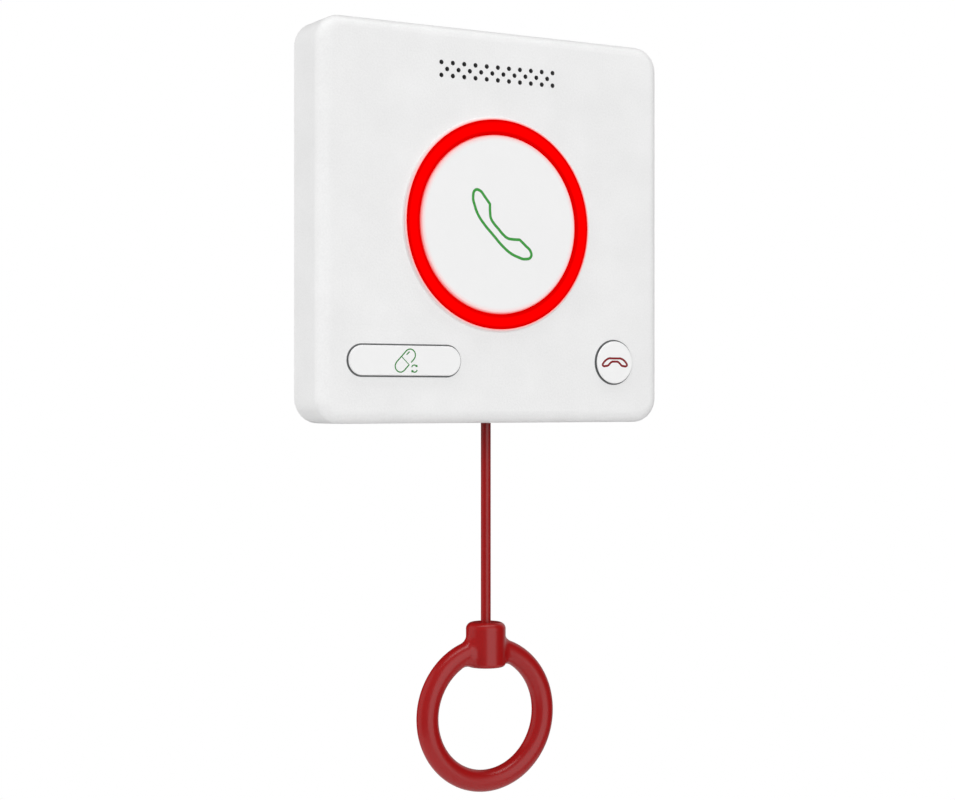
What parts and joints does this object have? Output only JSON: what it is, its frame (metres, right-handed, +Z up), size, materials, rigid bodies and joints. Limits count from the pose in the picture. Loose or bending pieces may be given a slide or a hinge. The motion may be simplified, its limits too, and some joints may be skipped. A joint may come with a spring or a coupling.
{
  "type": "medical call button",
  "caption": "Square wall call unit with a lit ring round a large call button, small push buttons, a speaker grille and a pull cord that ends in a hand ring.",
  "frame": {"origin": "centre of the flat rear face that meets the wall", "axes": "+Z up, +X to the right as the user sees it, +Y into the wall; the buttons face -Y"},
  "size_m": [0.125, 0.0199, 0.2437],
  "materials": {
    "case_plastic": "fine-grained moulded",
    "button_plastic": "satin moulded",
    "lit_ring": "clear red, lit from behind",
    "ring_red": "satin moulded",
    "cord_red": "smooth sheathed cord",
    "board": "solder mask",
    "screw_steel": "plated",
    "spring_steel": "drawn wire",
    "shield_metal": "tinned",
    "black_plastic": "moulded",
    "plug_plastic": "moulded",
    "bush_plastic": "smooth moulded acetal",
    "foam": "closed-cell",
    "cone_film": "pressed film",
    "battery_foil": "foil pouch",
    "lead_jacket": "wire insulation",
    "lamp": "clear resin"
  },
  "bodies": {
    "housing": {"front_cover": "case_plastic", "wall_plate": "case_plastic", "light_ring": "lit_ring", "circuit_board": "board", "board_screws": "screw_steel", "locking_screw": "screw_steel", "indicator_lamps": "lamp", "processor_chip": "black_plastic", "radio_module": "shield_metal", "speaker_gasket": "foam", "speaker_frame": "black_plastic", "speaker_cone": "cone_film", "speaker_magnet": "screw_steel", "microphone": "shield_metal", "microphone_boot": "foam", "battery_pack": "battery_foil", "battery_leads": "lead_jacket", "battery_plug": "plug_plastic", "call_switch_body": "black_plastic", "call_spring": "spring_steel", "medication_switch_body": "black_plastic", "cancel_switch_body": "black_plastic", "cord_bush": "bush_plastic", "pull_guide": "bush_plastic", "pull_switch_body": "black_plastic", "pull_spring": "spring_steel"},
    "call_button": {"call_button": "button_plastic", "call_switch_plunger": "plug_plastic"},
    "medication_button": {"medication_button": "button_plastic", "medication_switch_plunger": "plug_plastic"},
    "cancel_button": {"cancel_button": "button_plastic", "cancel_switch_plunger": "plug_plastic"},
    "pull_slider": {"pull_slider": "bush_plastic", "inner_cord": "cord_red"},
    "pull_lever": {"pull_switch_lever": "spring_steel"},
    "pull_cord": {"pull_cord": "cord_red", "cord_knot": "cord_red"},
    "pull_ring": {"pull_ring": "ring_red"}
  },
  "joints": [
    {"name": "call_press", "type": "slide", "parent": "housing", "child": "call_button", "axis": [0, 1, 0], "range_m": [0, 0.0006], "stiffness_N_per_m": 2500, "springref_m": -0.0004, "deforming": ["call_spring"]},
    {"name": "medication_press", "type": "slide", "parent": "housing", "child": "medication_button", "axis": [0, 1, 0], "range_m": [0, 0.0006], "stiffness_N_per_m": 2500, "springref_m": -0.0004},
    {"name": "cancel_press", "type": "slide", "parent": "housing", "child": "cancel_button", "axis": [0, 1, 0], "range_m": [0, 0.0006], "stiffness_N_per_m": 2500, "springref_m": -0.0004},
    {"name": "cord_pull", "type": "slide", "parent": "housing", "child": "pull_slider", "axis": [0, 0, -1], "range_m": [0, 0.003], "stiffness_N_per_m": 1500, "springref_m": -0.004, "deforming": ["pull_spring"]},
    {"name": "switch_lever", "type": "hinge", "parent": "housing", "child": "pull_lever", "pos_m": [0.0196, -0.0134, -0.0529], "axis": [0, -1, 0], "range_deg": [0, 16.2]},
    {"name": "cord_swing", "type": "hinge", "parent": "pull_slider", "child": "pull_cord", "pos_m": [0, -0.0109, -0.0625], "axis": [0, 1, 0], "range_deg": [-60, 60]},
    {"name": "ring_swivel", "type": "hinge", "parent": "pull_cord", "child": "pull_ring", "pos_m": [0, -0.0109, -0.133], "axis": [0, 0, 1], "continuous": true}
  ],
  "couplings": [
    {"joint": "switch_lever", "follows": "cord_pull", "rad_per_m": 92.9}
  ]
}
